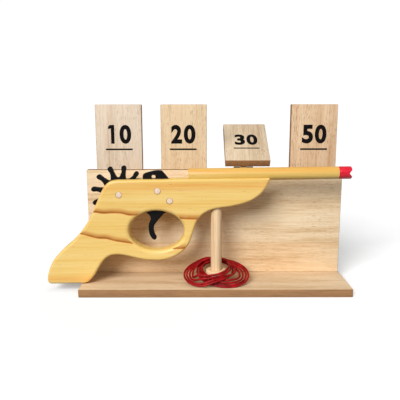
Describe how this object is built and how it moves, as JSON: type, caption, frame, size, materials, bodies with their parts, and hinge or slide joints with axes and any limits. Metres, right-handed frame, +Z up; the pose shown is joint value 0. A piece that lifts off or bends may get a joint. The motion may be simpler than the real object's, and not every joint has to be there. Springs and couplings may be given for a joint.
{
  "type": "rubber band gun target set",
  "caption": "Wooden toy gun with a toothed rotor and trigger, resting on a peg of a stand with a row of hinged tip-over targets and spare rubber bands.",
  "frame": {"origin": "centre of the base board's flat underside", "axes": "+X along the base board towards the gun's muzzle, +Y from the board's front edge to its back edge, +Z up"},
  "size_m": [0.3558, 0.138, 0.2184],
  "materials": {
    "board_wood": "matt sealed, horizontal grain",
    "target_wood": "matt sealed, vertical flecked grain",
    "dowel_wood": "bare turned dowel",
    "varnished_pine": "clear yellow varnish",
    "black_plastic": "moulded, semi-matt",
    "red_lacquer": "glossy",
    "red_rubber": "soft matt",
    "plated_steel": "bright plated",
    "dark_bronze": "dark patinated",
    "brass": "dull brass"
  },
  "bodies": {
    "stand": {"base_board": "board_wood", "back_panel": "board_wood", "panel_screw_1": "plated_steel", "panel_screw_2": "plated_steel", "panel_screw_3": "plated_steel", "panel_screw_4": "plated_steel", "peg_hub": "dowel_wood", "peg": "dowel_wood", "panel_leaf_10": "dark_bronze", "hinge_pin_10": "plated_steel", "panel_leaf_screw_10_1": "brass", "panel_leaf_screw_10_2": "brass", "panel_leaf_20": "dark_bronze", "hinge_pin_20": "plated_steel", "panel_leaf_screw_20_1": "brass", "panel_leaf_screw_20_2": "brass", "panel_leaf_30": "dark_bronze", "hinge_pin_30": "plated_steel", "panel_leaf_screw_30_1": "brass", "panel_leaf_screw_30_2": "brass", "panel_leaf_50": "dark_bronze", "hinge_pin_50": "plated_steel", "panel_leaf_screw_50_1": "brass", "panel_leaf_screw_50_2": "brass", "rubber_band_1": "red_rubber", "rubber_band_2": "red_rubber", "rubber_band_3": "red_rubber", "rubber_band_4": "red_rubber", "rubber_band_5": "red_rubber", "rubber_band_6": "red_rubber", "rubber_band_7": "red_rubber", "rubber_band_8": "red_rubber"},
    "gun": {"gun_body": "varnished_pine", "barrel": "varnished_pine", "muzzle_tip": "red_lacquer", "rotor_axle": "dowel_wood", "trigger_pin": "dowel_wood", "stop_pin": "dowel_wood"},
    "rotor": {"rotor": "black_plastic"},
    "trigger": {"trigger": "black_plastic"},
    "target_10": {"target_10": "target_wood", "target_leaf_10": "brass", "target_leaf_screw_10_1": "brass", "target_leaf_screw_10_2": "brass"},
    "target_20": {"target_20": "target_wood", "target_leaf_20": "brass", "target_leaf_screw_20_1": "brass", "target_leaf_screw_20_2": "brass"},
    "target_30": {"target_30": "target_wood", "target_leaf_30": "brass", "target_leaf_screw_30_1": "brass", "target_leaf_screw_30_2": "brass"},
    "target_50": {"target_50": "target_wood", "target_leaf_50": "brass", "target_leaf_screw_50_1": "brass", "target_leaf_screw_50_2": "brass"}
  },
  "joints": [
    {"name": "gun_lift", "type": "slide", "parent": "stand", "child": "gun", "axis": [0, 0, 1], "range_m": [0, 0.215]},
    {"name": "rotor_spin", "type": "hinge", "parent": "gun", "child": "rotor", "pos_m": [-0.11058, -0.0085, 0.11683], "axis": [0, 1, 0], "continuous": true},
    {"name": "trigger_pull", "type": "hinge", "parent": "gun", "child": "trigger", "pos_m": [-0.06633, -0.0085, 0.12117], "axis": [0, 1, 0], "range_deg": [0, 6.5], "stiffness_Nm_per_rad": 0.01, "springref_deg": -20.05},
    {"name": "target_10_tip", "type": "hinge", "parent": "stand", "child": "target_10", "pos_m": [-0.1203, 0.0381, 0.14025], "axis": [-1, 0, 0], "range_deg": [0, 170]},
    {"name": "target_20_tip", "type": "hinge", "parent": "stand", "child": "target_20", "pos_m": [-0.0421, 0.0381, 0.14025], "axis": [-1, 0, 0], "range_deg": [0, 170]},
    {"name": "target_30_tip", "type": "hinge", "parent": "stand", "child": "target_30", "pos_m": [0.0361, 0.0381, 0.14025], "axis": [-1, 0, 0], "range_deg": [-57.8, 112.2]},
    {"name": "target_50_tip", "type": "hinge", "parent": "stand", "child": "target_50", "pos_m": [0.1143, 0.0381, 0.14025], "axis": [-1, 0, 0], "range_deg": [0, 170]}
  ]
}
